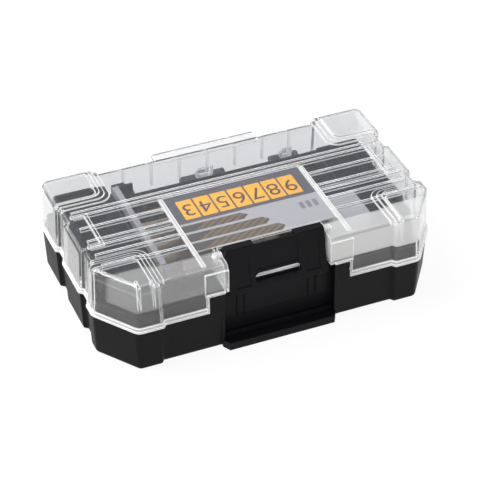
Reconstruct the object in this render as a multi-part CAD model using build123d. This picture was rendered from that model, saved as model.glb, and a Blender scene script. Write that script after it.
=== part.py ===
from build123d import *
import os
from math import cos, hypot, radians, sin

# Drill bit case: a black base with a raised inner wall, a clear hinged lid with a front latch,
# a rack of bits that lifts as the lid opens, and a bin beside it.
# Millimetres. +X runs along the length, -Y faces the latch, +Z is up.
# The origin is on the resting face, under the middle of the base.

# ---- outline of the case, seen from above ----
case_length = 210.0        # over the end walls
case_depth = 120.7         # over the front and back corner blocks
block_width = 33.0         # corner blocks along the front and back
front_block = 34.3         # corner blocks along the end walls
back_block = 30.3
side_gap = 10.0            # recess in an end wall between two blocks
jog_depth = 2.3            # how far the walls between the blocks are set back
jog_run = 1.8
chamfer_x = 18.2           # cut front corners
chamfer_y = 25.5
chamfer_round = 5.0
back_round = 6.0
jog_round = 0.9
least_round = 0.8

# ---- heights and walls ----
rim_height = 27.5          # top of the base's outer wall
upstand_height = 36.0      # top of the base's inner wall
tower_height = 38.7        # top of the base beside the latch
lid_height = 57.0          # middle of the lid's top
pad_rise = 2.1             # corner pads above the middle of the lid
base_wall = 2.0
base_floor = 2.5
base_draft = 1.2
bottom_round = 2.2
ledge_thickness = 2.0
upstand_inset = 4.2        # inner wall, in from the outline
upstand_wall = 1.8
lid_wall = 1.8
lid_set = 0.3              # lid wall in from the outline at the rim
lid_draft = 1.0
lid_round = 3.0
parting_gap = 0.3          # between the lid and the base wherever they meet
round_steps = 4
bite = 0.5                 # how far an added form sinks into what it grows from
past = 1.0                 # how far a cutter runs past the face that it opens

# ---- lid details ----
flange_out = 0.8
flange_height = 3.0
flange_groove = 0.4
flange_lower = 1.2         # height of the flange's wider lower part
pocket_floor_back = 1.0    # floor of the latch pocket, behind the face of the base recess
edge_bead = 1.2            # lip of the lid round the base's tower
pad_width = 30.3           # corner pads along X
front_pad = 31.0           # front pads along Y
back_pad = 28.2
pad_round = 5.0
pad_step = 2.6             # tread of each step round a pad
pad_steps = 2
rib_thickness = 1.2
rib_drop = 2.5
rib_lines = (24.5, 20.5, 8.3, -4.5, -10.0, -18.0, -29.5)
full_ribs = 2              # the first ribs run the whole length
rib_end_gap = 9.0
wall_rib_pitch = 18.0
wall_rib_depth = 1.6
wall_rib_count = 7
wall_rib_gap = 3.0         # above the base's inner wall
ridge_x = 44.5             # ridges beside the label
ridge_width = 2.0
ridge_height = 1.0
ridge_back = 14.5
end_ridge_inset = 14.5     # ridge near each end, in from the end wall
end_ridge_front = -13.0
end_ridge_back = 19.5
gusset_reach = 7.0
gusset_height = 20.0
gusset_spacing = 8.5
gusset_gap = 2.0           # above the base's inner wall
rail_half = 33.0           # rail at the back of the lid
rail_depth = 3.6           # behind the back wall between the blocks
rail_thickness = 2.8

# ---- latch, its recess and the part of the base beside it ----
tower_half = 43.3
recess_half = 34.0
recess_depth = 5.6         # behind the front wall
recess_step_height = 16.0
recess_step = 0.8
recess_lower_inset = 1.0   # each side of the deeper lower part
recess_rib_x = (19.5, 24.0)
recess_rib = 0.7
ledge_height = 7.0
ledge_depth = 2.6
foot_half = 35.2
foot_height = 5.0
foot_out = 2.1
foot_slant = 2.5
latch_half = 30.0
latch_gap = 1.3            # beside the latch, to the lid
latch_top = 61.3
latch_bottom = 33.5
latch_lean = 6.6           # top of the front face behind its bottom
latch_front = 3.2          # bottom of the front face behind the corner blocks' front
latch_thickness = 2.4
latch_top_set = 0.6        # top edge behind the line of the face
slot_margin = 1.5          # above the slot, to the set-back middle
latch_round = 1.2
latch_centre_half = 13.0
latch_centre_set = 0.9
latch_centre_drop = 0.7
latch_slot_length = 28.4
latch_slot_height = 6.0
latch_slot_z = 41.0
wing_gap = 0.3             # between the latch's side wings and the lid's pocket
latch_wing_height = 4.6
latch_wing_lift = 0.6
wing_set = 0.5             # behind the face
panel_inner = 17.0
panel_outer = 26.0
panel_low = 37.5
panel_high = 55.0
panel_depth = 0.7
pivot_y = -46.0
pivot_z = 55.4
latch_eye_radius = 4.2
latch_hook_back = 1.7      # the ears' flat tops end this far behind the pivot
pocket_clearance = 0.6     # round the turning ears
boss_radius = 3.1
boss_length = 2.4
catch_half = 18.0
catch_height = 1.5
catch_lift = 2.4
catch_gap = 0.6

# ---- pins and hinges ----
pin_radius = 1.5
press_clearance = 0.02
running_clearance = 0.07
hinge_back = 4.35          # pivot line behind the back wall
hinge_z = 30.0
knuckle_radius = 3.6
knuckle_gap = 0.3
base_web_drop = 9.4        # down the base's wall from its rim
base_web_turn = 16.0       # leaves the knuckle this far below its middle, in degrees
base_web_cover = 1.3       # over the rim's edge
web_top_drop = 0.2         # below the rim
lid_web_rise = 12.2        # up the lid's wall from the pivot line
lid_web_turn = 32.0        # leaves the knuckle this far above its middle, in degrees
web_root = 1.0             # into the wall
knuckle_relief = 0.5       # cut in the flange round a knuckle
hinge_side_x = 54.0
hinge_side_width = 18.0
hinge_centre_width = 28.0
lid_knuckle_share = 0.34   # of each hinge's width
pin_recess = 0.3
pin_end_gap = 1.0          # inside an ear, to the latch's middle

# ---- label ----
card_half = 43.2
card_thickness = 0.6
card_back = 17.5
card_drop = 0.4            # below the lid's inner face
card_gap = 0.3
card_rail = 1.2
card_lip = 1.6
card_rail_drop = 1.4       # below the card

# ---- rack and bits ----
bit_sizes = (9.0, 8.0, 7.0, 6.0, 5.0, 4.0, 3.0)          # front to back
bit_lengths = (125.0, 117.0, 109.0, 93.0, 86.0, 75.0, 61.0)
flute_lengths = (81.0, 75.0, 69.0, 57.0, 52.0, 43.0, 33.0)
small_sizes = (2.5, 2.0, 1.5)                            # back rows, from the back
small_lengths = (57.0, 49.0, 40.0)
small_flutes = (30.0, 24.0, 18.0)
small_gap = 2.5            # behind the point of the bit in the same row
bit_pitch = 11.8
front_bit_y = -27.0
bit_z = 36.0
shank_end_x = -60.0
point_angle = 118.0
flute_turn_pitch = 3.6     # turns of the flutes, in diameters per turn
flute_offset = 1.02        # flute's middle from the bit's axis, in radii
flute_size = 0.62          # flute's own radius, in radii
point_base = 0.98          # cone of the point, in radii
point_end = 0.06
notch_side = 0.92          # straight sides of a notch above the bit's middle, in half widths
bit_clearance = 0.2
rack_wall = 1.6
rack_floor_z = 28.0
rack_wall_z = 40.0
rack_end_gap = 0.4
rack_bit_margin = 2.2
rack_right_margin = 3.4
cheek_length = 12.0
cheek_z = 48.5
comb_z = 38.5
comb_thickness = 2.4
comb_places = (-47.0, -22.0, 6.0, 34.0)
floor_slot_margin = 3.6    # from the middle of a comb to the slots beside it
notch_end = 0.5            # past the point of a bit
floor_slot_width = 6.0
trunnion_x = -58.0
trunnion_z = 44.0
trunnion_radius = 2.0
post_width = 8.0
post_thickness = 3.0
post_margin = 3.6
side_clearance = 0.3
strip_height = 4.5
strip_wall = 1.0
guard_left = 42.0
guard_top = 48.0
guard_wall = 1.3
guard_rows = 2
guard_seat = 0.1

# ---- bin and wells ----
bin_right = -66.5
bin_top = 49.0
bin_wall = 1.6
bin_gap = 1.2              # to the base's inner wall
bin_seat = 0.2
divider_thickness = 1.8
divider_height = 24.0
divider_gap = 1.2
seat_block = 6.0

# ---- places that follow from the sizes above ----
half_x = case_length / 2
half_y = case_depth / 2
wall_y = half_y - jog_depth
wall_x = half_x - jog_depth
lid_bottom = rim_height + parting_gap
pad_top = lid_height + pad_rise
hinge_y = wall_y + hinge_back
recess_back = -wall_y + recess_depth
inner_face = upstand_inset + upstand_wall
pocket_half = latch_half + latch_gap
latch_front_y = -half_y + latch_front
hook_back_y = pivot_y + latch_hook_back
hook_reach = max(hypot(latch_hook_back, latch_top - pivot_z), latch_eye_radius)
pocket_back = pivot_y + hook_reach + pocket_clearance
row_count = len(bit_sizes)
row_y = [front_bit_y + bit_pitch * row for row in range(row_count)]
tips_x = [shank_end_x + length for length in bit_lengths]
rack_left = shank_end_x - rack_end_gap - rack_wall
rack_right = max(tips_x) + rack_right_margin + rack_wall
rack_front = row_y[0] - bit_sizes[0] / 2 - rack_bit_margin - rack_wall
rack_back = row_y[-1] + bit_sizes[-1] / 2 + rack_bit_margin + rack_wall
hinge_groups = (
    ("left", -hinge_side_x, hinge_side_width),
    ("centre", 0.0, hinge_centre_width),
    ("right", hinge_side_x, hinge_side_width),
)
far = 300.0                # past everything, for cutters


def slab(x0, x1, y0, y1, z0, z1):
    middle = ((x0 + x1) / 2, (y0 + y1) / 2, (z0 + z1) / 2)
    return Pos(*middle) * Box(abs(x1 - x0), abs(y1 - y0), abs(z1 - z0))


def mirrored_slab(x0, x1, y0, y1, z0, z1):
    return slab(x0, x1, y0, y1, z0, z1) + slab(-x1, -x0, y0, y1, z0, z1)


def rod_x(x0, x1, y, z, radius):
    rod = Cylinder(radius, abs(x1 - x0), rotation=(0, 90, 0))
    return Pos((x0 + x1) / 2, y, z) * rod


def rod_y(y0, y1, x, z, radius):
    rod = Cylinder(radius, abs(y1 - y0), rotation=(90, 0, 0))
    return Pos(x, (y0 + y1) / 2, z) * rod


def prism_x(points, x0, x1, radii=None):
    """A (y, z) profile run along X, with an optional rounding for each corner."""
    corners = [(x0, y, z) for y, z in points]
    if radii is None:
        wire = Wire.make_polygon(corners, close=True)
    else:
        wire = FilletPolyline(*corners, radius=radii, close=True).wire()
    return Part() + Solid.extrude(Face(wire), Vector(x1 - x0, 0, 0))


def outline_corners():
    """Right half from the front to the back, with the rounding of each corner."""
    block_x = half_x - block_width
    front_y = -half_y + front_block
    back_y = half_y - back_block
    middle_front = front_y + 2 * jog_run + side_gap
    middle_back = back_y - 2 * jog_run - side_gap
    return [
        (block_x - jog_run, -wall_y, jog_round),
        (block_x, -half_y, jog_round),
        (half_x - chamfer_x, -half_y, chamfer_round),
        (half_x, -half_y + chamfer_y, chamfer_round),
        (half_x, front_y, jog_round),
        (wall_x, front_y + jog_run, jog_round),
        (wall_x, middle_front - jog_run, jog_round),
        (half_x, middle_front, jog_round),
        (half_x, middle_back, jog_round),
        (wall_x, middle_back + jog_run, jog_round),
        (wall_x, back_y - jog_run, jog_round),
        (half_x, back_y, jog_round),
        (half_x, half_y, back_round),
        (block_x, half_y, jog_round),
        (block_x - jog_run, wall_y, jog_round),
    ]


def outline(inset, z):
    """The case's outline, moved inwards by inset, as a face at height z."""
    right = outline_corners()
    left = [(-x, y, r) for x, y, r in reversed(right)]
    corners = right + left
    points, radii = [], []
    for place, (x, y, radius) in enumerate(corners):
        before = Vector(x - corners[place - 1][0], y - corners[place - 1][1]).normalized()
        after_x, after_y, _ = corners[(place + 1) % len(corners)]
        after = Vector(after_x - x, after_y - y).normalized()
        normal_a = Vector(-before.Y, before.X)
        normal_b = Vector(-after.Y, after.X)
        shift = (normal_a + normal_b) * (inset / (1 + normal_a.dot(normal_b)))
        points.append((x + shift.X, y + shift.Y))
        outward = before.X * after.Y - before.Y * after.X > 0
        radii.append(max(radius - inset, least_round) if outward else radius)
    wire = FilletPolyline(*points, radius=radii, close=True).wire()
    return Pos(0, 0, z) * Face(wire)


def stack(levels):
    """A solid through the outline at each (height, inset)."""
    return Part() + loft([outline(inset, z) for z, inset in levels], ruled=True)


def rounded_top(height, inset, radius):
    """Levels of a rounded top edge that ends at height, from the wall's inset."""
    levels = []
    for step in range(round_steps + 1):
        turn = radians(90.0 * step / round_steps)
        levels.append((height - radius + radius * sin(turn), inset + radius * (1 - cos(turn))))
    return levels


# ---- base ----

def base_body():
    levels = []
    for step in range(round_steps + 1):
        turn = radians(90.0 * step / round_steps)
        height = bottom_round * (1 - cos(turn))
        levels.append((height, base_draft + bottom_round * (1 - sin(turn))))
    levels.append((rim_height, 0.0))
    inside = upstand_inset + upstand_wall
    low = rim_height - ledge_thickness
    body = stack(levels)
    body += [
        stack([(low, upstand_inset), (upstand_height, upstand_inset)]),
        slab(-tower_half, tower_half, -wall_y, -wall_y + inside, low, tower_height),
    ]
    body -= [
        stack([(base_floor, base_draft + base_wall), (low, base_wall)]),
        stack([(low - past, inside), (tower_height + past, inside)]),
    ]
    return body


def latch_recess(body):
    inner = recess_back + base_wall
    outer = recess_half + base_wall
    body += slab(-outer, outer, -wall_y, inner, bottom_round, tower_height)
    body -= slab(-recess_half, recess_half, -far, recess_back, foot_height, far)
    body -= slab(-recess_half + recess_lower_inset, recess_half - recess_lower_inset,
                 recess_back - past, recess_back + recess_step,
                 ledge_height, recess_step_height)
    body += slab(-recess_half, recess_half, recess_back - ledge_depth, recess_back + recess_step,
                 foot_height - bite, ledge_height)
    foot = Polyline(
        (-foot_half, recess_back), (-foot_half, -wall_y), (-foot_half + foot_slant, -half_y - foot_out),
        (foot_half - foot_slant, -half_y - foot_out), (foot_half, -wall_y), (foot_half, recess_back),
        close=True)
    body += extrude(make_face(foot), foot_height)
    for x in recess_rib_x:
        body += mirrored_slab(x, x + recess_rib, recess_back - recess_rib, recess_back,
                              recess_step_height, latch_bottom)
    catch_top = latch_bottom + catch_lift + catch_height
    plate_back = latch_face(catch_top) + latch_thickness
    body += slab(-catch_half, catch_half, plate_back + catch_gap, recess_back,
                 catch_top - catch_height, catch_top)
    return body


def knuckle_spans(middle, width):
    """X ranges of a hinge's two base knuckles and its lid knuckle."""
    lid_half = width * lid_knuckle_share / 2
    left = (middle - width / 2, middle - lid_half - knuckle_gap)
    right = (middle + lid_half + knuckle_gap, middle + width / 2)
    return left, right, (middle - lid_half, middle + lid_half)


def base_knuckles(body):
    turn = radians(base_web_turn)
    web = [
        (wall_y - web_root, rim_height - base_web_drop),
        (hinge_y + knuckle_radius * cos(turn), hinge_z - knuckle_radius * sin(turn)),
        (hinge_y, hinge_z),
        (wall_y + base_web_cover, rim_height - web_top_drop),
        (wall_y - web_root, rim_height - web_top_drop),
    ]
    added, bores = [], []
    for _, middle, width in hinge_groups:
        left, right, _ = knuckle_spans(middle, width)
        for low, high in (left, right):
            added.append(prism_x(web, low, high))
            added.append(rod_x(low, high, hinge_y, hinge_z, knuckle_radius))
        reach = width / 2 + past
        bores.append(rod_x(middle - reach, middle + reach, hinge_y, hinge_z, pin_radius + press_clearance))
    return body + added - bores


def rack_seats(body):
    """Posts that carry the rack's trunnions, and blocks that its free end rests on."""
    post_top = trunnion_z + post_margin
    for side, face in ((-1, rack_front), (1, rack_back)):
        near = face + side * side_clearance
        post = slab(trunnion_x - post_width / 2, trunnion_x + post_width / 2,
                    near, near + side * post_thickness, base_floor - bite, post_top)
        body += post
        body -= rod_y(near - side * past, near + side * (post_thickness + past), trunnion_x, trunnion_z,
                      trunnion_radius + running_clearance)
    seat_top = rack_floor_z - side_clearance
    for y in (rack_front, rack_back - seat_block):
        body += slab(rack_right - seat_block, rack_right, y, y + seat_block, base_floor - bite, seat_top)
    return body


def dividers(body):
    reach_y = wall_y - base_wall
    for x in (bin_right + divider_gap, rack_right + divider_gap):
        body += slab(x, x + divider_thickness, -reach_y, reach_y, base_floor - bite, divider_height)
    return body


def base_shell():
    body = base_body()
    body = dividers(body)
    body = rack_seats(body)
    body = latch_recess(body)
    return base_knuckles(body)


# ---- lid ----

def pad_columns(grow, z0, z1):
    """Columns over the four corner pads, each grown by a margin."""
    columns = Part()
    for side in (-1, 1):
        for near, depth in ((-1, front_pad), (1, back_pad)):
            width = pad_width + grow + pad_round
            length = depth + grow + pad_round
            x = side * (half_x - pad_width - grow + width / 2)
            y = near * (half_y - depth - grow + length / 2)
            plate = Pos(x, y, z0) * RectangleRounded(width, length, pad_round + grow / 2)
            columns += extrude(plate, z1 - z0)
    return columns


def lid_outer():
    wall = [(lid_bottom, lid_set)]
    body = stack(wall + rounded_top(lid_height, lid_set + lid_draft, lid_round))
    tall = stack(wall + rounded_top(pad_top, lid_set + lid_draft, lid_round))
    columns = []
    for step in range(pad_steps + 1):
        top = pad_top - step * pad_rise / (pad_steps + 1)
        columns.append(pad_columns(step * pad_step, lid_height - lid_round, top))
    added = [
        tall & (Part() + columns),
        stack([(lid_bottom, -flange_out), (lid_bottom + flange_lower, -flange_out)]),
        stack([(lid_bottom, -flange_groove), (lid_bottom + flange_height, -flange_groove)]),
        mirrored_slab(pocket_half, ridge_x + ridge_width / 2, -wall_y + lid_set, pocket_back,
                      tower_height, lid_height - lid_round),
    ]
    return body + added


def lid_hollow():
    inset = lid_set + lid_wall
    inner_round = lid_round - lid_wall
    wall = [(lid_bottom - past, inset)]
    hollow = stack(wall + rounded_top(lid_height - lid_wall, inset + lid_draft, inner_round))
    tall = stack(wall + rounded_top(pad_top - lid_wall, inset + lid_draft, inner_round))
    hollow += tall & pad_columns(-lid_wall, lid_height - lid_round - lid_wall, pad_top)
    side = pocket_half + lid_wall
    hollow -= slab(-side, side, -far, pocket_back + lid_wall, tower_height, far)
    return hollow


def lid_ribs():
    """Ribs under the top and up the inside of the back wall."""
    top = lid_height - lid_wall
    ribs = Part()
    reach = half_x - rib_end_gap
    for place, y in enumerate(rib_lines):
        low, high = y - rib_thickness / 2, y + rib_thickness / 2
        if place < full_ribs:
            ribs += slab(-reach, reach, low, high, top - rib_drop, top + bite)
        else:
            ribs += mirrored_slab(ridge_x + card_rail, reach, low, high, top - rib_drop, top + bite)
    back = wall_y - lid_set - lid_wall
    first = -wall_rib_pitch * (wall_rib_count - 1) / 2
    for place in range(wall_rib_count):
        x = first + place * wall_rib_pitch
        ribs += slab(x, x + rib_thickness, back - wall_rib_depth, back + bite,
                     upstand_height + wall_rib_gap, top + bite)
    return ribs


def gussets():
    """Triangular webs inside the front corner blocks."""
    front = -half_y + lid_set + lid_wall
    low = upstand_height + gusset_gap
    webs = Part()
    points = [(front - bite, low), (front - bite, low + gusset_height),
              (front + gusset_reach, low + gusset_height)]
    start = half_x - block_width + gusset_reach / 2
    for place in range(2):
        x = start + place * gusset_spacing
        for side in (-1, 1):
            webs += prism_x(points, side * x, side * (x + rib_thickness))
    return webs


def top_ridges():
    low = lid_height - bite
    high = lid_height + ridge_height
    front = -wall_y + lid_set + lid_draft + lid_round
    ridges = mirrored_slab(ridge_x - ridge_width / 2, ridge_x + ridge_width / 2, front, ridge_back,
                           low, high)
    x = half_x - end_ridge_inset
    ridges += mirrored_slab(x - ridge_width, x, end_ridge_front, end_ridge_back, low, high)
    edge = wall_x - lid_set - lid_draft - lid_round
    for y in (end_ridge_front, end_ridge_back - ridge_width):
        ridges += mirrored_slab(x - ridge_width, edge, y, y + ridge_width, low, high)
    return ridges


def card_rails():
    top = lid_height - lid_wall
    inner = card_half + card_gap
    card_low = top - card_drop - card_thickness
    rails = mirrored_slab(inner, inner + card_rail, pocket_back + lid_wall, card_back,
                          card_low - card_rail_drop, top + bite)
    rails += mirrored_slab(inner - card_lip, inner + card_rail, pocket_back + lid_wall, card_back,
                           card_low - card_rail_drop, card_low - card_gap)
    rails += slab(-inner - card_rail, inner + card_rail, card_back + card_gap,
                  card_back + card_gap + card_rail, card_low - card_rail_drop, top + bite)
    return rails


def lid_latch_place(body):
    """The pocket for the latch, its floor over the base's tower, and the pivot bosses."""
    side = tower_half + parting_gap
    floor_z = tower_height + parting_gap
    body -= [
        slab(-side, side, -far, 0, 0, floor_z),
        slab(-pocket_half, pocket_half, -far, pocket_back, floor_z + lid_wall, far),
        slab(-pocket_half, pocket_half, -far, recess_back + pocket_floor_back, 0, far),
    ]
    bead_front = -wall_y - flange_out
    bead_back = -wall_y + lid_set + lid_wall / 2
    outer_x = pocket_half + lid_wall + boss_length
    added = [
        mirrored_slab(recess_half, side + edge_bead, bead_front, bead_back, floor_z, floor_z + edge_bead),
        mirrored_slab(side, side + edge_bead, bead_front, bead_back, lid_bottom, floor_z + edge_bead),
    ]
    added += [rod_x(s * pocket_half, s * outer_x, pivot_y, pivot_z, boss_radius) for s in (-1, 1)]
    body += added
    bore = pin_radius + press_clearance
    body -= [rod_x(s * (pocket_half - past), s * (outer_x + past), pivot_y, pivot_z, bore) for s in (-1, 1)]
    return body


def lid_knuckles(body):
    face = wall_y - lid_set
    turn = radians(lid_web_turn)
    web = [
        (face - web_root, hinge_z + lid_web_rise),
        (hinge_y + knuckle_radius * cos(turn), hinge_z + knuckle_radius * sin(turn)),
        (hinge_y, hinge_z),
        (face - web_root / 2, hinge_z + web_root),
    ]
    clear = knuckle_radius + knuckle_relief
    cuts, added, bores = [], [], []
    for _, middle, width in hinge_groups:
        low, high = middle - width / 2 - knuckle_relief, middle + width / 2 + knuckle_relief
        cuts.append(slab(low, high, hinge_y - clear, far,
                         lid_bottom - past, lid_bottom + flange_height + bite))
        _, _, (low, high) = knuckle_spans(middle, width)
        added.append(prism_x(web, low, high))
        added.append(rod_x(low, high, hinge_y, hinge_z, knuckle_radius))
        bores.append(rod_x(low - past, high + past, hinge_y, hinge_z, pin_radius + running_clearance))
    return body - cuts + added - bores


def lid_shell():
    rail_front = wall_y - lid_set - lid_draft - lid_round - past
    rail = slab(-rail_half, rail_half, rail_front, wall_y + rail_depth,
                lid_height - rail_thickness, lid_height)
    body = lid_outer() - lid_hollow()
    body += [lid_ribs(), gussets(), top_ridges(), card_rails(), rail]
    return lid_knuckles(lid_latch_place(body))


# ---- latch ----

def latch_face(z):
    """Y of the latch's leaning front face at a height."""
    return latch_front_y + latch_lean * (z - latch_bottom) / (latch_top - latch_bottom)


def latch_lever():
    top_front = latch_face(latch_top)
    plate = [
        (latch_face(latch_bottom), latch_bottom), (top_front + latch_top_set, latch_top),
        (top_front + latch_thickness, latch_top),
        (latch_face(latch_bottom) + latch_thickness, latch_bottom),
    ]
    ear = [
        (top_front + latch_top_set, latch_top), (hook_back_y, latch_top),
        (pivot_y + latch_eye_radius, pivot_z), (pivot_y, pivot_z - latch_eye_radius),
        (latch_face(pivot_z - latch_eye_radius) + latch_thickness / 2, pivot_z - latch_eye_radius),
    ]
    body = prism_x(plate, -latch_half, latch_half, (latch_round, latch_round, 0, 0))
    for s in (-1, 1):
        body += prism_x(ear, s * latch_centre_half, s * latch_half, (latch_round, latch_round, 0, 0, 0))
        body += rod_x(s * latch_centre_half, s * latch_half, pivot_y, pivot_z, latch_eye_radius)
    body -= slab(-latch_centre_half, latch_centre_half, -far, far, latch_top - latch_centre_drop, far)
    centre_low = latch_slot_z + latch_slot_height / 2 + slot_margin
    face_cut = [
        (latch_face(centre_low) - past, centre_low), (latch_face(centre_low) + latch_centre_set, centre_low),
        (top_front + latch_centre_set, latch_top), (top_front - past, latch_top),
    ]
    body -= prism_x(face_cut, -latch_centre_half, latch_centre_half)
    panel = [
        (latch_face(panel_low) - past, panel_low), (latch_face(panel_low) + panel_depth, panel_low),
        (latch_face(panel_high) + panel_depth, panel_high), (latch_face(panel_high) - past, panel_high),
    ]
    for s in (-1, 1):
        body -= prism_x(panel, s * panel_inner, s * panel_outer)
    slot = SlotOverall(latch_slot_length, latch_slot_height)
    body -= Pos(0, pivot_y, latch_slot_z) * (Rot(90, 0, 0) * extrude(slot, far / 4))
    wing_low = latch_bottom + latch_wing_lift
    wing_high = wing_low + latch_wing_height
    wing = [
        (latch_face(wing_low) + wing_set, wing_low), (latch_face(wing_high) + wing_set, wing_high),
        (latch_face(wing_high) + latch_thickness, wing_high),
        (latch_face(wing_low) + latch_thickness, wing_low),
    ]
    for s in (-1, 1):
        body += prism_x(wing, s * (latch_half - past), s * (pocket_half - wing_gap))
        body -= rod_x(s * (latch_centre_half - past), s * (latch_half + past), pivot_y, pivot_z,
                      pin_radius + running_clearance)
    return body


def latch_pin(side):
    outer = pocket_half + lid_wall + boss_length - pin_recess
    return rod_x(side * (latch_centre_half + pin_end_gap), side * outer, pivot_y, pivot_z, pin_radius)


# ---- bits ----

def drill_bit(diameter, length, flute_length):
    """A jobber bit along +X from its shank end, with two wound flutes and a cone point."""
    radius = diameter / 2
    point = radius / (sin(radians(point_angle / 2)) / cos(radians(point_angle / 2)))
    shank = length - flute_length
    body = rod_x(0, shank, 0, 0, radius)
    flute = Circle(radius * flute_size)
    offset = radius * flute_offset
    disc = Circle(radius) - Pos(offset, 0) * flute - Pos(-offset, 0) * flute
    fluted = flute_length - point
    turn = 360.0 * fluted / (flute_turn_pitch * diameter)
    twisted = Solid.extrude_linear_with_rotation(disc.face(), (0, 0, 0), (0, 0, fluted), turn)
    body += Pos(shank, 0, 0) * (Rot(0, 90, 0) * twisted)
    tip = Cone(radius * point_base, radius * point_end, point, align=(Align.CENTER, Align.CENTER, Align.MIN))
    return body + Pos(length - point, 0, 0) * (Rot(0, 90, 0) * tip)


def bits():
    """Every bit in its place, by node name."""
    placed = {}
    for row, size in enumerate(bit_sizes):
        bit = drill_bit(size, bit_lengths[row], flute_lengths[row])
        placed[bit_name(size)] = Pos(shank_end_x, row_y[row], bit_z) * bit
    for place, size in enumerate(small_sizes):
        row = row_count - 1 - place
        bit = drill_bit(size, small_lengths[place], small_flutes[place])
        placed[bit_name(size)] = Pos(tips_x[row] + small_gap, row_y[row], bit_z) * bit
    return placed


def bit_name(size):
    whole = int(size)
    tenth = round((size - whole) * 10)
    return f"drill_bit_{whole}_{tenth}mm"


def bit_spans():
    """(size, first X, last X, Y) of every bit."""
    spans = [(bit_sizes[row], shank_end_x, tips_x[row], row_y[row]) for row in range(row_count)]
    for place, size in enumerate(small_sizes):
        row = row_count - 1 - place
        start = tips_x[row] + small_gap
        spans.append((size, start, start + small_lengths[place], row_y[row]))
    return spans


# ---- rack ----

def bit_rack():
    inner_front = rack_front + rack_wall
    inner_back = rack_back - rack_wall
    body = slab(rack_left, rack_right, rack_front, rack_back, rack_floor_z, rack_wall_z)
    body += slab(rack_left, rack_left + cheek_length, rack_front, rack_back, rack_floor_z, cheek_z)
    body -= slab(rack_left + rack_wall, rack_right - rack_wall, inner_front, inner_back,
                 rack_floor_z + rack_wall, far)
    for x in comb_places:
        body += slab(x - comb_thickness / 2, x + comb_thickness / 2, inner_front - bite, inner_back + bite,
                     rack_floor_z, comb_z)
    for left, right in zip(comb_places, comb_places[1:]):
        for y0, y1 in zip(row_y, row_y[1:]):
            middle = (y0 + y1) / 2
            body -= slab(left + floor_slot_margin, right - floor_slot_margin,
                         middle - floor_slot_width / 2, middle + floor_slot_width / 2,
                         rack_floor_z - past, rack_floor_z + rack_wall + past)
    for size, start, end, y in bit_spans():
        reach = size / 2 + bit_clearance
        body -= rod_x(start, end + notch_end, y, bit_z, reach)
        body -= slab(start, end + notch_end, y - reach * notch_side, y + reach * notch_side,
                     bit_z, rack_wall_z + past)
    for side, face in ((-1, rack_front), (1, rack_back)):
        end = face + side * (side_clearance + post_thickness)
        body += rod_y(face - side * rack_wall, end, trunnion_x, trunnion_z, trunnion_radius)
    return body


def end_strip():
    """A light clip along the top of the rack's end wall."""
    body = slab(rack_left - strip_wall, rack_left + rack_wall + strip_wall,
                rack_front + rack_wall, rack_back - rack_wall, cheek_z - strip_height, cheek_z + strip_wall)
    body -= slab(rack_left, rack_left + rack_wall, -far, far, -far, cheek_z)
    return body


def tip_guard():
    """A cap over the points of the longest bits."""
    front = rack_front + rack_wall + side_clearance
    back = (row_y[guard_rows - 1] + row_y[guard_rows]) / 2
    right = rack_right - rack_wall - side_clearance
    low = rack_floor_z + rack_wall + guard_seat
    body = slab(guard_left, right, front, back, low, guard_top)
    body -= slab(guard_left + guard_wall, right - guard_wall, front + guard_wall, back - guard_wall,
                 low - past, guard_top - guard_wall)
    for size, y in zip(bit_sizes[:guard_rows], row_y):
        reach = size / 2 + bit_clearance
        body -= rod_x(guard_left - past, guard_left + guard_wall + past, y, bit_z, reach)
        body -= slab(guard_left - past, guard_left + guard_wall + past, y - reach, y + reach,
                     low - past, bit_z)
    return body


# ---- bin, label and pins ----

def side_bin():
    outside = inner_face + bin_gap
    low = base_floor + bin_seat
    body = stack([(low, outside), (bin_top, outside)]) & slab(-far, bin_right, -far, far, -far, far)
    inside = outside + bin_wall
    hollow = stack([(low + bin_wall, inside), (bin_top + past, inside)])
    return body - (hollow & slab(-far, bin_right - bin_wall, -far, far, -far, far))


def label_card():
    top = lid_height - lid_wall - card_drop
    front = pocket_back + lid_wall + card_gap
    return slab(-card_half, card_half, front, card_back, top - card_thickness, top)


def hinge_pin(middle, width):
    reach = width / 2 - pin_recess
    return rod_x(middle - reach, middle + reach, hinge_y, hinge_z, pin_radius)


def all_nodes():
    nodes = {
        "base_shell": base_shell(),
        "lid_shell": lid_shell(),
        "latch_lever": latch_lever(),
        "latch_pin_left": latch_pin(-1),
        "latch_pin_right": latch_pin(1),
        "label_card": label_card(),
        "bit_rack": bit_rack(),
        "end_strip": end_strip(),
        "tip_guard": tip_guard(),
        "side_bin": side_bin(),
    }
    for name, middle, width in hinge_groups:
        nodes[f"hinge_pin_{name}"] = hinge_pin(middle, width)
    nodes.update(bits())
    return nodes


os.makedirs("parts", exist_ok=True)
for node, shape in all_nodes().items():
    export_step(Part() + shape, f"parts/{node}.step")
    print(node, len(shape.solids()), round(shape.volume, 1))
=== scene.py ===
from math import radians

import bmesh
import bpy
from mathutils import Matrix, Vector


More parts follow.
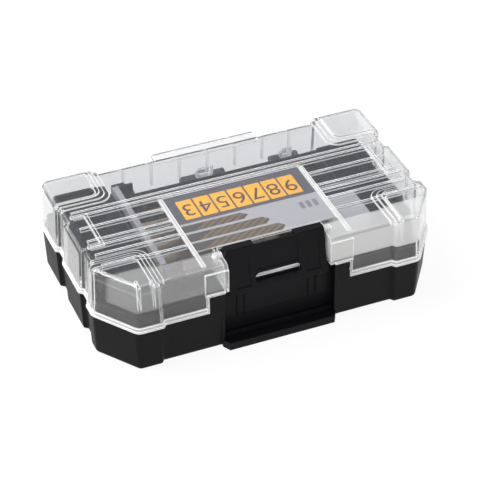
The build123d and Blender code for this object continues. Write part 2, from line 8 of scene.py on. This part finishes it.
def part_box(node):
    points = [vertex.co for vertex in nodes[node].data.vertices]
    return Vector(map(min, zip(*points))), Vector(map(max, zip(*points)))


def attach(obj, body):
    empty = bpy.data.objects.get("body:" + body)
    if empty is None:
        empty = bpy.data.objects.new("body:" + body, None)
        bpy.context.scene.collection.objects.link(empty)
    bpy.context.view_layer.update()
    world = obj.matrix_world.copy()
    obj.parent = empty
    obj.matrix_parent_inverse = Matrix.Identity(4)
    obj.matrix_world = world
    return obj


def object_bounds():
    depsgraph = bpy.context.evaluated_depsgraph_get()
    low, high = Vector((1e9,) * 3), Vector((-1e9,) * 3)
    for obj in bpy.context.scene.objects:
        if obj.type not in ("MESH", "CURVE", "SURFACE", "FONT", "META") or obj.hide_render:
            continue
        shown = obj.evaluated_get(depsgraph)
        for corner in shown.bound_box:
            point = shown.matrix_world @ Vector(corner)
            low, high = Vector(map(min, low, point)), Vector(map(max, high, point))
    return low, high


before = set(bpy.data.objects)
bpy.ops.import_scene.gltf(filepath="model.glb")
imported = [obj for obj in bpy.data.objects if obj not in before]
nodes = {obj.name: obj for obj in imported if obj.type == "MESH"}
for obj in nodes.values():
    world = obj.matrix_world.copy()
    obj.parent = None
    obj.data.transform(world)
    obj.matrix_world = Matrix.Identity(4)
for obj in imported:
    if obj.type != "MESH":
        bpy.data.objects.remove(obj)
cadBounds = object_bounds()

print("frame loaded,", len(nodes), "nodes")


cameraView = {
    "azimuth": -22.48,       # degrees round from the front, towards the left end
    "elevation": 36.92,
    "roll": -0.22,
    "distance": 1.1722,      # metres
    "sideways": -0.00072,
    "upwards": 0.02084,
    "lens": 146.66,          # millimetres on a 36 mm sensor
}


def placeCamera(view):
    turn = (Matrix.Rotation(radians(view["azimuth"]), 4, "Z")
            @ Matrix.Rotation(radians(90.0 - view["elevation"]), 4, "X"))
    place = turn @ Vector((view["sideways"], view["upwards"], view["distance"]))
    data = bpy.data.cameras.new("camera")
    data.lens = view["lens"]
    data.sensor_width = 36.0
    data.clip_end = 50.0
    camera = bpy.data.objects.new("camera", data)
    bpy.context.scene.collection.objects.link(camera)
    camera.matrix_world = Matrix.Translation(place) @ turn @ Matrix.Rotation(radians(view["roll"]), 4, "Z")
    bpy.context.scene.camera = camera


def linear(hexText):
    channels = []
    for start in (1, 3, 5):
        value = int(hexText[start:start + 2], 16) / 255.0
        channels.append(value / 12.92 if value <= 0.04045 else ((value + 0.055) / 1.055) ** 2.4)
    return (*channels, 1.0)


def addNode(tree, kind, inputs=None, links=None, **settings):
    node = tree.nodes.new(kind)
    for name, value in settings.items():
        setattr(node, name, value)
    for name, value in (inputs or {}).items():
        node.inputs[name].default_value = value
    for name, source in (links or {}).items():
        tree.links.new(source, node.inputs[name])
    return node


def newMaterial(name):
    material = bpy.data.materials.new(name)
    material.use_nodes = True
    material.node_tree.nodes.clear()
    return material, material.node_tree


def backgroundRays(tree):
    # 1 for what the camera, a mirror or clear plastic sees, 0 for light that falls on the object
    path = addNode(tree, "ShaderNodeLightPath")
    either = addNode(tree, "ShaderNodeMath", operation="MAXIMUM",
                     links={0: path.outputs["Is Camera Ray"], 1: path.outputs["Is Glossy Ray"]})
    every = addNode(tree, "ShaderNodeMath", operation="MAXIMUM",
                    links={0: either.outputs[0], 1: path.outputs["Is Transmission Ray"]})
    return every.outputs[0]


room = {
    "worldLight": 0.62,
    "ceiling": 0.42,          # what a mirror or clear plastic sees overhead, against a white horizon
    "ceilingTint": "#dfe3ff",
    "floorShown": 0.08,       # share of the shown floor that takes shadow
    "floorGlow": 0.92,
    "floorLit": "#e4e4e4",
    "floorSize": 40.0,
    "floorGap": 0.0002,       # below the object, so that the two don't fight for a pixel
    "fade": (0.15, 0.5),      # height of the sky's fade, from horizon to ceiling
}


def buildRoom(values):
    world = bpy.data.worlds.new("studio")
    bpy.context.scene.world = world
    world.use_nodes = True
    tree = world.node_tree
    tree.nodes.clear()
    light = addNode(tree, "ShaderNodeBackground", {"Color": (1, 1, 1, 1), "Strength": values["worldLight"]})
    split = addNode(tree, "ShaderNodeSeparateXYZ",
                    links={0: addNode(tree, "ShaderNodeTexCoord").outputs["Generated"]})
    fade = addNode(tree, "ShaderNodeMapRange",
                   {"From Min": values["fade"][0], "From Max": values["fade"][1], "To Min": 1.0,
                    "To Max": values["ceiling"]},
                   {"Value": split.outputs["Z"]})
    tint = addNode(tree, "ShaderNodeMix", {6: linear(values["ceilingTint"]), 7: (1, 1, 1, 1)},
                   {0: fade.outputs["Result"]}, data_type="RGBA")
    shown = addNode(tree, "ShaderNodeBackground",
                    links={"Color": tint.outputs[2], "Strength": fade.outputs["Result"]})
    mix = addNode(tree, "ShaderNodeMixShader", links={0: backgroundRays(tree), 1: light.outputs[0],
                                                      2: shown.outputs[0]})
    addNode(tree, "ShaderNodeOutputWorld", links={"Surface": mix.outputs[0]})

    material, tree = newMaterial("white_sweep_paper")
    lit = addNode(tree, "ShaderNodeBsdfDiffuse", {"Color": linear(values["floorLit"])})
    share = values["floorShown"]
    shadow = addNode(tree, "ShaderNodeBsdfDiffuse", {"Color": (share, share, share, 1)})
    glow = addNode(tree, "ShaderNodeEmission", {"Color": (1, 1, 1, 1), "Strength": values["floorGlow"]})
    shownFloor = addNode(tree, "ShaderNodeAddShader", links={0: shadow.outputs[0], 1: glow.outputs[0]})
    mix = addNode(tree, "ShaderNodeMixShader", links={0: backgroundRays(tree), 1: lit.outputs[0],
                                                      2: shownFloor.outputs[0]})
    addNode(tree, "ShaderNodeOutputMaterial", links={"Surface": mix.outputs[0]})
    bpy.ops.object.select_all(action="DESELECT")
    height = cadBounds[0][2] - values["floorGap"]
    bpy.ops.mesh.primitive_plane_add(size=values["floorSize"], location=(0, 0, height))
    floor = bpy.context.active_object
    floor.name = "floor"
    floor.data.materials.append(material)
    bpy.ops.object.transform_apply(location=True)


lampAim = (0, 0, 0.03)        # a little above the floor, at the middle of the case

lamps = {
    "key": {"place": (-0.85, 0.25, 1.05), "size": (0.6, 0.6), "watts": 11.5},
    "front": {"place": (0.75, -0.9, 1.1), "size": (0.6, 0.4), "watts": 2.5},
    "back": {"place": (-0.15, 0.75, 1.25), "size": (1.0, 0.25), "watts": 4.0},
}


def hangLamp(name, values):
    data = bpy.data.lights.new(name, "AREA")
    data.shape = "RECTANGLE"
    data.size, data.size_y = values["size"]
    data.energy = values["watts"]
    lamp = bpy.data.objects.new(name, data)
    bpy.context.scene.collection.objects.link(lamp)
    place = Vector(values["place"])
    aim = (Vector(lampAim) - place).to_track_quat("-Z", "Y")
    lamp.matrix_world = Matrix.Translation(place) @ aim.to_matrix().to_4x4()


bpy.context.scene.view_settings.view_transform = "Standard"
placeCamera(cameraView)
buildRoom(room)
for lampName, lampValues in lamps.items():
    hangLamp(lampName, lampValues)
print("camera and lamps placed")


def objectPlace(tree):
    return addNode(tree, "ShaderNodeTexCoord").outputs["Object"]


def unevenness(tree, place, millimetres, low, high, detail=3.0):
    noise = addNode(tree, "ShaderNodeTexNoise", {"Scale": 1000.0 / millimetres, "Detail": detail},
                    {"Vector": place})
    spread = addNode(tree, "ShaderNodeMapRange", {"To Min": low, "To Max": high},
                     {"Value": noise.outputs["Fac"]})
    return spread.outputs["Result"]


def softEdges(tree, radius, height, depth, strength):
    # rounds the shading of moulded edges and lays the grain on top
    edge = addNode(tree, "ShaderNodeBevel", {"Radius": radius}, samples=6)
    bump = addNode(tree, "ShaderNodeBump", {"Distance": depth, "Strength": strength},
                   {"Height": height, "Normal": edge.outputs["Normal"]})
    return bump.outputs["Normal"]


blackPlastic = {
    "colour": "#131316",
    "grain": 0.9,            # millimetres, coarser than the mould's 0.2 mm texture so that it shows
    "smooth": 0.40,
    "dull": 0.52,
    "patch": 22.0,           # millimetres from a smooth patch to a dull one
    "cloud": 30.0,           # millimetres from a darker patch to a lighter one
    "darker": 0.8,
    "edge": 0.0008,
    "grainDepth": 0.00003,
    "relief": 0.30,
    "sheen": 0.12,
}


def mouldedPolypropylene(name, values):
    # black polypropylene from a spark-eroded mould: a soft, even sheen with no sharp reflection
    material, tree = newMaterial(name)
    place = objectPlace(tree)
    grain = unevenness(tree, place, values["grain"], 0.0, 1.0)
    normal = softEdges(tree, values["edge"], grain, values["grainDepth"], values["relief"])
    rough = unevenness(tree, place, values["patch"], values["smooth"], values["dull"])
    tone = unevenness(tree, place, values["cloud"], 0.0, 1.0)
    base = linear(values["colour"])
    darker = tuple(channel * values["darker"] for channel in base[:3]) + (1,)
    colour = addNode(tree, "ShaderNodeMix", {6: darker, 7: base}, {0: tone}, data_type="RGBA")
    shader = addNode(tree, "ShaderNodeBsdfPrincipled", {"Specular IOR Level": values["sheen"], "IOR": 1.49},
                     {"Base Color": colour.outputs[2], "Roughness": rough, "Normal": normal})
    addNode(tree, "ShaderNodeOutputMaterial", links={"Surface": shader.outputs[0]})
    return material


clearPlastic = {
    "colour": "#f4f5f6",
    "ior": 1.5,
    "smooth": 0.01,
    "scuffed": 0.015,
    "haze": 0.018,            # share of light that a flat face scatters
    "rimPaintedReflection": 0.50,          # share of milky white seen edge on: a painted reflection, where clear plastic mirrors the room
    "edgePaintedHighlight": 0.97,         # share of milky white along a moulded edge, a painted highlight
    "uprightFade": (0.2, 0.9),    # upward part of the normal at which a wall's painted highlight starts to go, and is gone
    "edgeWidth": 0.0014,      # metres
    "edgeLean": (0.99, 0.80),     # how far the two normals agree on a flat face, and on a full edge
    # milky white that carries the faint real haze and the painted highlights and reflections
    "milkyHazeAndHighlight": "#fcfcfb",
    "milkyHazeAndHighlightRough": 0.3,
    "scuffPatch": 9.0,        # millimetres
    "scuffDetail": 5.0,
    "rimBlend": 0.35,
    "rimFrom": 0.45,          # painted reflection grows from this much turned away
    "shadow": 0.9,            # light that a wall lets through to what lies inside
    "all": (-0.2, 0.2),       # a zone with this span isn't limited along that axis
}

lidPaintedLightZones = {
    # painted highlight of a zone, a milky white share that brightens the lid where it looks bright from the
    # camera's side, then where it runs from and to along x, y and z
    "frontLeft": (0.14, (-0.2, 0.0), (-0.2, -0.042), (0.041, 0.2)),
    "frontRight": (0.28, (0.0, 0.2), (-0.2, -0.042), (0.041, 0.2)),
    "ridges": (0.46, (-0.060, 0.060), (-0.2, 0.2), (0.0573, 0.2)),
    "flange": (0.42, (-0.2, 0.2), (-0.2, 0.2), (-0.2, 0.0306)),
    "latchPocket": (0.88, (-0.030, 0.030), (-0.2, -0.040), (-0.2, 0.047)),
    "backWall": (0.08, (-0.2, 0.2), (0.054, 0.2), (0.034, 0.2)),
    "rightEnd": (0.12, (0.096, 0.2), (-0.2, 0.2), (0.034, 0.2)),
}

wallPaintedLightZones = {
    # the same painted highlight for upright walls alone
    "frontRight": (0.50, (0.0, 0.2), (-0.2, -0.042), (0.041, 0.2)),
}


def stronger(tree, first, second):
    return addNode(tree, "ShaderNodeMath", links={0: first, 1: second}, operation="MAXIMUM").outputs[0]


def mouldedEdges(tree, width, span):
    # 1 along an edge, 0 on a flat face: how far a rounded normal leans from the true one
    rounded = addNode(tree, "ShaderNodeBevel", {"Radius": width}, samples=8)
    true = addNode(tree, "ShaderNodeNewGeometry")
    lean = addNode(tree, "ShaderNodeVectorMath", links={0: rounded.outputs["Normal"],
                                                        1: true.outputs["True Normal"]},
                   operation="DOT_PRODUCT")
    spread = addNode(tree, "ShaderNodeMapRange", {"From Min": span[0], "From Max": span[1]},
                     {"Value": lean.outputs["Value"]})
    return spread.outputs["Result"]


# milky white share inside a box: a painted highlight zone
def zonePaintedLight(tree, split, haze, spans, everywhere):
    share = None
    for axis, span in zip("XYZ", spans):
        if span == everywhere:
            continue
        inside = addNode(tree, "ShaderNodeMath", {1: sum(span) / 2, 2: (span[1] - span[0]) / 2},
                         {0: split.outputs[axis]}, operation="COMPARE").outputs[0]
        share = inside if share is None else addNode(
            tree, "ShaderNodeMath", links={0: share, 1: inside}, operation="MULTIPLY").outputs[0]
    return addNode(tree, "ShaderNodeMath", {1: haze}, {0: share}, operation="MULTIPLY").outputs[0]


def uprightShare(tree, fade):
    # 1 on an upright wall, 0 on a flat top
    normal = addNode(tree, "ShaderNodeSeparateXYZ",
                     links={0: addNode(tree, "ShaderNodeTexCoord").outputs["Normal"]})
    lean = addNode(tree, "ShaderNodeMath", links={0: normal.outputs["Z"]}, operation="ABSOLUTE")
    share = addNode(tree, "ShaderNodeMapRange",
                    {"From Min": fade[0], "From Max": fade[1], "To Min": 1.0, "To Max": 0.0},
                    {"Value": lean.outputs[0]})
    return share.outputs["Result"]


# share of milky white over the lid: faint real haze on flat faces, painted reflection at grazing rims,
# painted highlight along edges and in zones
def hazeAndPaintedLightOfLid(tree, place, values, zones, walls):
    split = addNode(tree, "ShaderNodeSeparateXYZ", links={0: place})
    # painted reflection: milky white rises on faces seen edge on
    facing = addNode(tree, "ShaderNodeLayerWeight", {"Blend": values["rimBlend"]})
    rim = addNode(tree, "ShaderNodeMapRange",
                  {"From Min": values["rimFrom"], "From Max": 1.0, "To Min": values["haze"],
                   "To Max": values["rimPaintedReflection"]},
                  {"Value": facing.outputs["Facing"]})
    # painted highlight: milky white along the moulded edges
    edges = addNode(tree, "ShaderNodeMath", {1: values["edgePaintedHighlight"]},
                    {0: mouldedEdges(tree, values["edgeWidth"], values["edgeLean"])}, operation="MULTIPLY")
    total = stronger(tree, rim.outputs["Result"], edges.outputs[0])
    # painted highlight zones, then the same on upright walls
    for haze, *spans in zones.values():
        total = stronger(tree, total, zonePaintedLight(tree, split, haze, spans, values["all"]))
    upright = uprightShare(tree, values["uprightFade"])
    for haze, *spans in walls.values():
        wall = addNode(tree, "ShaderNodeMath", operation="MULTIPLY",
                       links={0: zonePaintedLight(tree, split, haze, spans, values["all"]), 1: upright})
        total = stronger(tree, total, wall.outputs[0])
    return total


def polishedPolycarbonate(values, zones, walls):
    # clear polycarbonate from a polished mould: glassy faces, faint scuffs, faint real haze, and milky white
    # painted along edges, rims and zones as painted highlights and reflections
    material, tree = newMaterial("polished_polycarbonate")
    place = objectPlace(tree)
    rough = unevenness(tree, place, values["scuffPatch"], values["smooth"], values["scuffed"],
                       values["scuffDetail"])
    clear = addNode(tree, "ShaderNodeBsdfPrincipled",
                    {"Base Color": linear(values["colour"]), "IOR": values["ior"],
                     "Transmission Weight": 1.0}, {"Roughness": rough})
    milkyHazeAndHighlight = addNode(tree, "ShaderNodeBsdfPrincipled",
                    {"Base Color": linear(values["milkyHazeAndHighlight"]), "Roughness": values["milkyHazeAndHighlightRough"],
                     "IOR": values["ior"]})
    lid = addNode(tree, "ShaderNodeMixShader", links={0: hazeAndPaintedLightOfLid(tree, place, values, zones, walls),
                                                      1: clear.outputs[0], 2: milkyHazeAndHighlight.outputs[0]})
    share = values["shadow"]
    through = addNode(tree, "ShaderNodeBsdfTransparent", {"Color": (share, share, share, 1)})
    path = addNode(tree, "ShaderNodeLightPath")
    mix = addNode(tree, "ShaderNodeMixShader",
                  links={0: path.outputs["Is Shadow Ray"], 1: lid.outputs[0], 2: through.outputs[0]})
    addNode(tree, "ShaderNodeOutputMaterial", links={"Surface": mix.outputs[0]})
    return material


frosted = {
    "strip": "#8e8d8f",
    "cap": "#a09fa3",
    "grain": 1.0,             # millimetres, coarser than the real matt skin so that it shows
    "grainDepth": 0.00003,
    "relief": 0.3,
    "edge": 0.0004,
    "patch": 12.0,
    "smooth": 0.34,
    "dull": 0.5,
    "glow": 0.25,
    "glowDepth": 0.001,
}


def frostedPolypropylene(name, hexText, values):
    # natural polypropylene with a matt skin: pale, milky, slightly see-through
    material, tree = newMaterial(name)
    place = objectPlace(tree)
    grain = unevenness(tree, place, values["grain"], 0.0, 1.0)
    normal = softEdges(tree, values["edge"], grain, values["grainDepth"], values["relief"])
    rough = unevenness(tree, place, values["patch"], values["smooth"], values["dull"])
    shader = addNode(tree, "ShaderNodeBsdfPrincipled",
                     {"Base Color": linear(hexText), "Subsurface Weight": values["glow"],
                      "Subsurface Scale": values["glowDepth"], "IOR": 1.49},
                     {"Roughness": rough, "Normal": normal})
    addNode(tree, "ShaderNodeOutputMaterial", links={"Surface": shader.outputs[0]})
    return material


oxide = {
    "brown": "#857a6c",
    "straw": "#b3a48e",
    "cloud": 5.0,             # millimetres between the two tones
    "cloudDetail": 4.0,
    "stretch": 0.04,          # draws the turning marks out round the bit
    "marks": 0.8,             # millimetres, coarser than the real marks so that they show
    "markDepth": 0.00002,
    "relief": 0.4,
    "patch": 6.0,
    "smooth": 0.26,
    "dull": 0.42,
}


def oxidedSteel(values):
    # high-speed steel with a bronze oxide skin: straw to brown, with turning marks round the bit
    material, tree = newMaterial("bronze_oxide_high_speed_steel")
    place = objectPlace(tree)
    tone = unevenness(tree, place, values["cloud"], 0.0, 1.0, values["cloudDetail"])
    colour = addNode(tree, "ShaderNodeMix", {6: linear(values["brown"]), 7: linear(values["straw"])},
                     {0: tone}, data_type="RGBA")
    stretch = values["stretch"]
    along = addNode(tree, "ShaderNodeMapping", {"Scale": (1.0, stretch, stretch)}, {"Vector": place})
    marks = unevenness(tree, along.outputs[0], values["marks"], 0.0, 1.0)
    bump = addNode(tree, "ShaderNodeBump", {"Distance": values["markDepth"], "Strength": values["relief"]},
                   {"Height": marks})
    rough = unevenness(tree, place, values["patch"], values["smooth"], values["dull"])
    shader = addNode(tree, "ShaderNodeBsdfPrincipled", {"Metallic": 1.0},
                     {"Base Color": colour.outputs[2], "Roughness": rough,
                      "Normal": bump.outputs["Normal"]})
    addNode(tree, "ShaderNodeOutputMaterial", links={"Surface": shader.outputs[0]})
    return material


ground = {
    "colour": "#b9b9bb",
    "stretch": 0.05,
    "marks": 0.4,             # millimetres
    "markDepth": 0.00001,
    "relief": 0.4,
    "patch": 3.0,
    "smooth": 0.18,
    "dull": 0.32,
}


def groundSteel(values):
    # hardened pin, ground round: bright, with fine marks round it
    material, tree = newMaterial("ground_steel")
    place = objectPlace(tree)
    stretch = values["stretch"]
    around = addNode(tree, "ShaderNodeMapping", {"Scale": (1.0, stretch, stretch)}, {"Vector": place})
    marks = unevenness(tree, around.outputs[0], values["marks"], 0.0, 1.0)
    bump = addNode(tree, "ShaderNodeBump", {"Distance": values["markDepth"], "Strength": values["relief"]},
                   {"Height": marks})
    rough = unevenness(tree, place, values["patch"], values["smooth"], values["dull"])
    shader = addNode(tree, "ShaderNodeBsdfPrincipled",
                     {"Metallic": 1.0, "Base Color": linear(values["colour"])},
                     {"Roughness": rough, "Normal": bump.outputs["Normal"]})
    addNode(tree, "ShaderNodeOutputMaterial", links={"Surface": shader.outputs[0]})
    return material


card = {
    "bandFront": -0.010,      # dark band's front edge on the card
    "bandColour": "#4b4b53",
    "fieldColour": "#a6a6a9",
    "reverseColour": "#c9c8c4",
    "fibre": 1.2,             # millimetres
    "fibreDetail": 5.0,
    "fibreDepth": 0.00002,
    "relief": 0.25,
    "patch": 8.0,
    "smooth": 0.28,
    "dull": 0.4,
}


def coatedCard(values):
    # card printed and varnished on its upper side: a dark band behind a pale field, over a faint paper grain
    material, tree = newMaterial("varnished_printed_card")
    place = objectPlace(tree)
    split = addNode(tree, "ShaderNodeSeparateXYZ", links={0: place})
    band = addNode(tree, "ShaderNodeMath", {1: values["bandFront"]}, {0: split.outputs["Y"]},
                   operation="GREATER_THAN")
    facing = addNode(tree, "ShaderNodeSeparateXYZ",
                     links={0: addNode(tree, "ShaderNodeTexCoord").outputs["Normal"]})
    printed = addNode(tree, "ShaderNodeMath", {1: 0.0}, {0: facing.outputs["Z"]}, operation="GREATER_THAN")
    field = addNode(tree, "ShaderNodeMix",
                    {6: linear(values["fieldColour"]), 7: linear(values["bandColour"])},
                    {0: band.outputs[0]}, data_type="RGBA")
    colour = addNode(tree, "ShaderNodeMix", {6: linear(values["reverseColour"])},
                     {0: printed.outputs[0], 7: field.outputs[2]}, data_type="RGBA")
    fibre = unevenness(tree, place, values["fibre"], 0.0, 1.0, values["fibreDetail"])
    bump = addNode(tree, "ShaderNodeBump", {"Distance": values["fibreDepth"], "Strength": values["relief"]},
                   {"Height": fibre})
    rough = unevenness(tree, place, values["patch"], values["smooth"], values["dull"])
    shader = addNode(tree, "ShaderNodeBsdfPrincipled", {"IOR": 1.5},
                     {"Base Color": colour.outputs[2], "Roughness": rough,
                      "Normal": bump.outputs["Normal"]})
    addNode(tree, "ShaderNodeOutputMaterial", links={"Surface": shader.outputs[0]})
    return material


ink = {
    "thin": 0.88,             # tone where the layer is thinnest
    "cloud": 2.5,             # millimetres
    "cloudDetail": 4.0,
    "patch": 6.0,
    "smooth": 0.28,
    "dull": 0.4,
}


def printedInk(name, hexText, values):
    # a layer of varnished ink, slightly uneven in tone
    material, tree = newMaterial(name)
    place = objectPlace(tree)
    tone = unevenness(tree, place, values["cloud"], 0.0, 1.0, values["cloudDetail"])
    full = linear(hexText)
    thin = tuple(channel * values["thin"] for channel in full[:3]) + (1,)
    colour = addNode(tree, "ShaderNodeMix", {6: thin, 7: full}, {0: tone}, data_type="RGBA")
    rough = unevenness(tree, place, values["patch"], values["smooth"], values["dull"])
    shader = addNode(tree, "ShaderNodeBsdfPrincipled", {"IOR": 1.5},
                     {"Base Color": colour.outputs[2], "Roughness": rough})
    addNode(tree, "ShaderNodeOutputMaterial", links={"Surface": shader.outputs[0]})
    return material


def dress(nodeName, material):
    mesh = nodes[nodeName].data
    mesh.materials.clear()
    mesh.materials.append(material)


caseBlack = mouldedPolypropylene("spark_eroded_black_polypropylene", blackPlastic)
for nodeName in ("base_shell", "latch_lever", "bit_rack", "side_bin"):
    dress(nodeName, caseBlack)
dress("lid_shell", polishedPolycarbonate(clearPlastic, lidPaintedLightZones, wallPaintedLightZones))
dress("end_strip", frostedPolypropylene("frosted_polypropylene_strip", frosted["strip"], frosted))
dress("tip_guard", frostedPolypropylene("frosted_polypropylene_cap", frosted["cap"], frosted))
dress("label_card", coatedCard(card))
bitSteel = oxidedSteel(oxide)
pinSteel = groundSteel(ground)
for nodeName in nodes:
    if nodeName.startswith("drill_bit"):
        dress(nodeName, bitSteel)
    elif "pin" in nodeName:
        dress(nodeName, pinSteel)
print("materials made")


def addPlate(name, low, high, corner):
    # a thin plate with rounded corners, from one corner of its box to the other
    bpy.ops.object.select_all(action="DESELECT")
    low, high = Vector(low), Vector(high)
    bpy.ops.mesh.primitive_cube_add(size=1.0, location=(low + high) / 2, scale=high - low)
    plate = bpy.context.active_object
    plate.name = name
    bpy.ops.object.transform_apply(location=True, rotation=True, scale=True)
    if corner > 0:
        bpy.ops.object.mode_set(mode="EDIT")
        bpy.ops.mesh.select_all(action="DESELECT")
        shape = bmesh.from_edit_mesh(plate.data)
        for edge in shape.edges:
            first, second = (vertex.co for vertex in edge.verts)
            edge.select_set(abs(first.z - second.z) > 0.5 * (high.z - low.z))
        bpy.ops.mesh.bevel(offset=corner, segments=4, affect="EDGES")
        bpy.ops.object.mode_set(mode="OBJECT")
    return plate


def cutAcross(piece, place, normal):
    # drops what lies past a plane and closes the cut
    bpy.ops.object.select_all(action="DESELECT")
    piece.select_set(True)
    bpy.context.view_layer.objects.active = piece
    bpy.ops.object.mode_set(mode="EDIT")
    bpy.ops.mesh.select_all(action="SELECT")
    bpy.ops.mesh.bisect(plane_co=place, plane_no=Vector(normal).normalized(), use_fill=True,
                        clear_outer=True, threshold=0.000001)
    bpy.ops.object.mode_set(mode="OBJECT")


def copyShifted(piece, shift):
    twin = piece.copy()
    twin.data = piece.data.copy()
    twin.data.transform(Matrix.Translation(shift))
    bpy.context.scene.collection.objects.link(twin)
    return twin


def joinAs(name, parts):
    bpy.ops.object.select_all(action="DESELECT")
    for part in parts:
        part.select_set(True)
    bpy.context.view_layer.objects.active = parts[0]
    if len(parts) > 1:
        bpy.ops.object.join()
    joined = bpy.context.active_object
    joined.name = name
    return joined


def finishPrint(piece, material):
    piece.data.materials.clear()
    piece.data.materials.append(material)
    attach(piece, "lid")


sizeTiles = {
    "sizes": ("3", "4", "5", "6", "7", "8", "9"),   # from the case's left end, each upright from behind
    "pitch": 0.0107,
    "width": 0.0095,
    "front": -0.0068,
    "back": 0.0118,
    "corner": 0.0012,
    "ink": 0.00004,
    "textSize": 0.0161,
    "tileColour": "#ffb400",
    "numberColour": "#3c3c42",
}


def printTiles(values, cardTop):
    low, high = cardTop, cardTop + values["ink"]
    count = len(values["sizes"])
    left = -values["pitch"] * (count - 1) / 2
    tile = addPlate("label_tile", (left - values["width"] / 2, values["front"], low),
                    (left + values["width"] / 2, values["back"], high), values["corner"])
    tiles = [tile] + [copyShifted(tile, (values["pitch"] * place, 0, 0)) for place in range(1, count)]
    finishPrint(joinAs("label_size_tiles", tiles),
                printedInk("yellow_varnished_ink", values["tileColour"], ink))
    numbers = []
    middle = (values["front"] + values["back"]) / 2
    for place, size in enumerate(values["sizes"]):
        bpy.ops.object.select_all(action="DESELECT")
        bpy.ops.object.text_add()
        number = bpy.context.active_object
        number.data.body = size
        number.data.size = values["textSize"]
        number.data.align_x = "CENTER"
        number.data.align_y = "CENTER"
        number.data.extrude = values["ink"] / 2
        bpy.ops.object.convert(target="MESH")
        turned = Matrix.Rotation(radians(180), 4, "Z")
        spot = Vector((left + values["pitch"] * place, middle, high + values["ink"] / 2))
        number.data.transform(Matrix.Translation(spot) @ turned)
        numbers.append(number)
    finishPrint(joinAs("label_size_numbers", numbers),
                printedInk("charcoal_varnished_ink", values["numberColour"], ink))


bitPrints = {
    "rows": ((-0.0425, -0.0020, -0.0152, 0.0062),    # left, right, middle, width
             (-0.0425, 0.0080, -0.0240, 0.0070),
             (-0.0425, 0.0140, -0.0330, 0.0070)),
    "shank": 0.013,
    "stripePitch": 0.0056,
    "stripeWidth": 0.0021,
    "stripeTurn": 34.0,
    "point": 0.0036,
    "bodyColour": "#453e37",
    "fluteColour": "#6f5d43",
    "stripeReach": 3.0,       # length of a stripe before it is trimmed, in widths of its bit
    "ink": 0.00004,
}


def printBits(values, cardTop):
    bodies, stripes = [], []
    for left, right, middle, width in values["rows"]:
        half = width / 2
        body = addPlate("print", (left, middle - half, cardTop),
                        (right, middle + half, cardTop + values["ink"]), 0)
        tip = (right, middle, cardTop)
        pointed = [(half, side * values["point"], 0) for side in (-1, 1)]
        for normal in pointed:
            cutAcross(body, tip, normal)
        bodies.append(body)
        x = left + values["shank"]
        while x < right - values["point"]:
            spot = (x, middle, cardTop + values["ink"] * 1.5)     # in a second layer, over the body's
            bpy.ops.object.select_all(action="DESELECT")
            bpy.ops.mesh.primitive_cube_add(size=1.0, location=spot,
                                            scale=(values["stripeWidth"],
                                                   width * values["stripeReach"], values["ink"]),
                                            rotation=(0, 0, radians(values["stripeTurn"] - 90)))
            stripe = bpy.context.active_object
            bpy.ops.object.transform_apply(location=True, rotation=True, scale=True)
            cutAcross(stripe, (x, middle - half, 0), (0, -1, 0))
            cutAcross(stripe, (x, middle + half, 0), (0, 1, 0))
            for normal in pointed:
                cutAcross(stripe, tip, normal)
            stripes.append(stripe)
            x += values["stripePitch"]
    finishPrint(joinAs("label_bit_shapes", bodies),
                printedInk("umber_varnished_ink", values["bodyColour"], ink))
    finishPrint(joinAs("label_bit_flutes", stripes),
                printedInk("bronze_varnished_ink", values["fluteColour"], ink))


sizeMarks = {
    "left": 0.0290,
    "pitch": 0.0042,
    "width": 0.0026,
    "front": -0.0225,
    "back": -0.0160,
    "count": 3,
    "corner": 0.0004,
    "colour": "#7c7c82",
    "ink": 0.00004,
}


def printMarks(values, cardTop):
    mark = addPlate("mark", (values["left"], values["front"], cardTop),
                    (values["left"] + values["width"], values["back"], cardTop + values["ink"]),
                    values["corner"])
    marks = [mark] + [copyShifted(mark, (values["pitch"] * place, 0, 0))
                      for place in range(1, values["count"])]
    finishPrint(joinAs("label_marks", marks), printedInk("slate_varnished_ink", values["colour"], ink))


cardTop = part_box("label_card")[1][2]
printTiles(sizeTiles, cardTop)
printBits(bitPrints, cardTop)
printMarks(sizeMarks, cardTop)
print("card printed")
